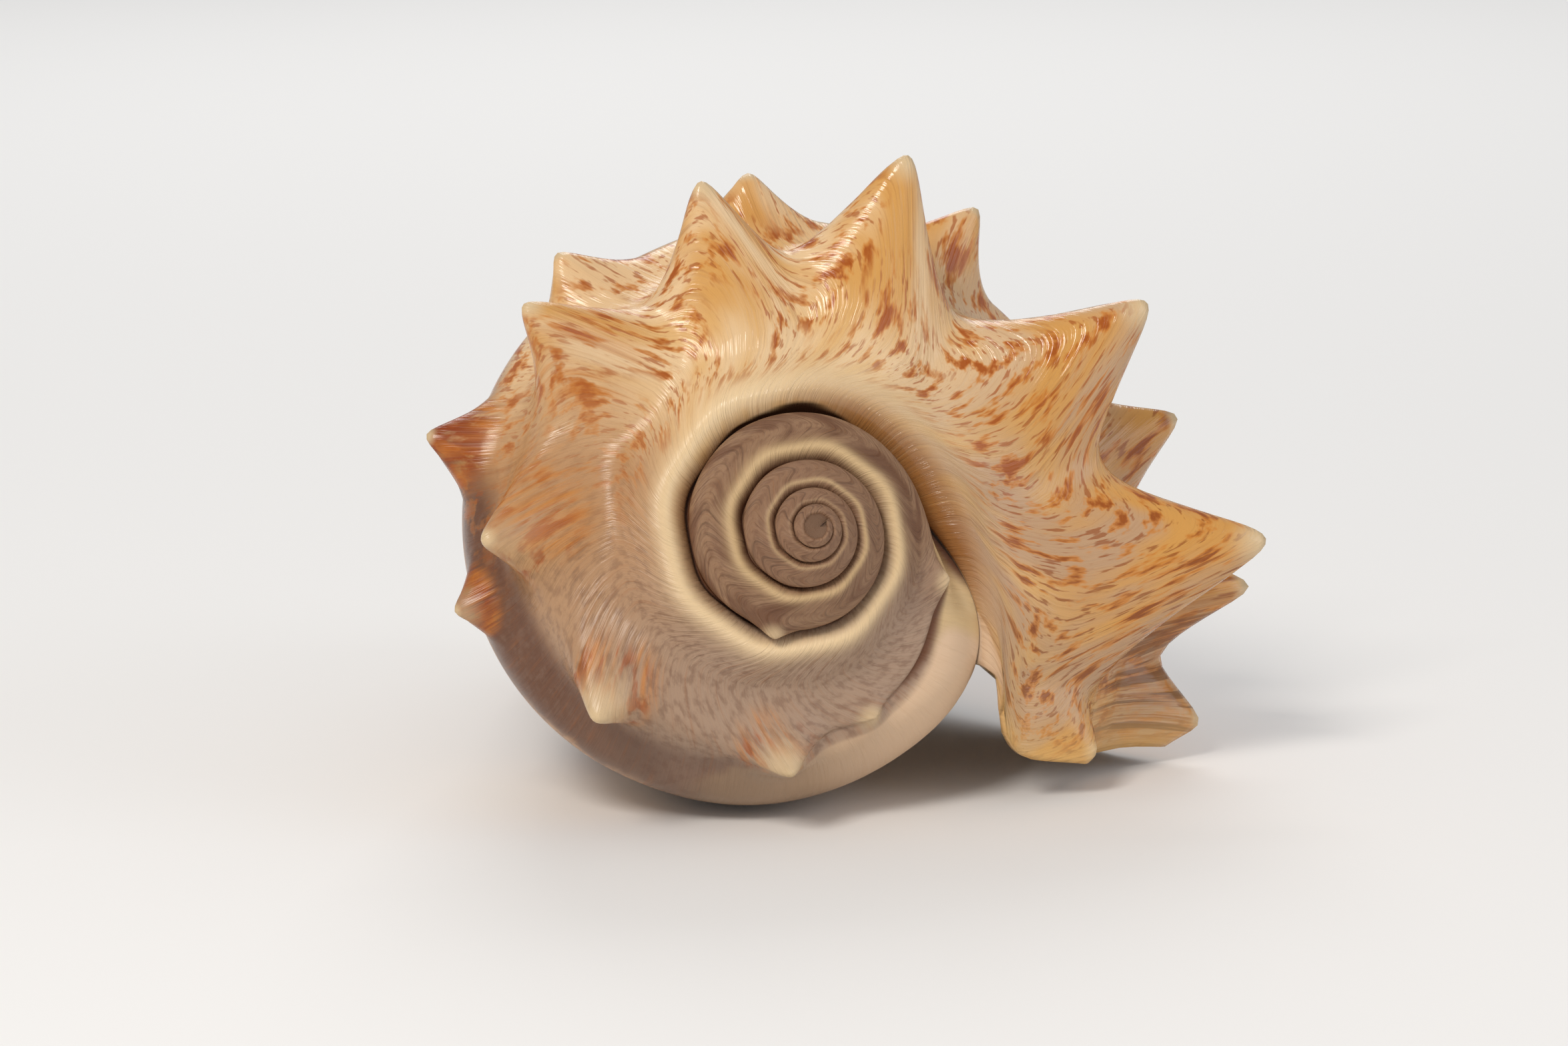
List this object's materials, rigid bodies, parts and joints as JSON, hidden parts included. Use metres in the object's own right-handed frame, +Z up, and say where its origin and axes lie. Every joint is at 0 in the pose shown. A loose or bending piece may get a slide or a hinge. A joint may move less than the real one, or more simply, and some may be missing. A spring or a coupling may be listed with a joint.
{
  "type": "crown conch shell",
  "caption": "Crown conch sea shell with a low coiled spire, rows of blunt spines round its shoulder and a flared outer lip, lying on its open side.",
  "frame": {"origin": "centre of the bounding box at ground level, on the surface that the shell rests on", "axes": "+Z up; the spire points towards -Y and the canal towards +Y; the outer lip is on the +X side"},
  "size_m": [0.0992, 0.1042, 0.0753],
  "materials": {
    "shell": "natural calcium carbonate shell, satin to glossy"
  },
  "bodies": {
    "root": {"shell": "shell"}
  },
  "joints": []
}
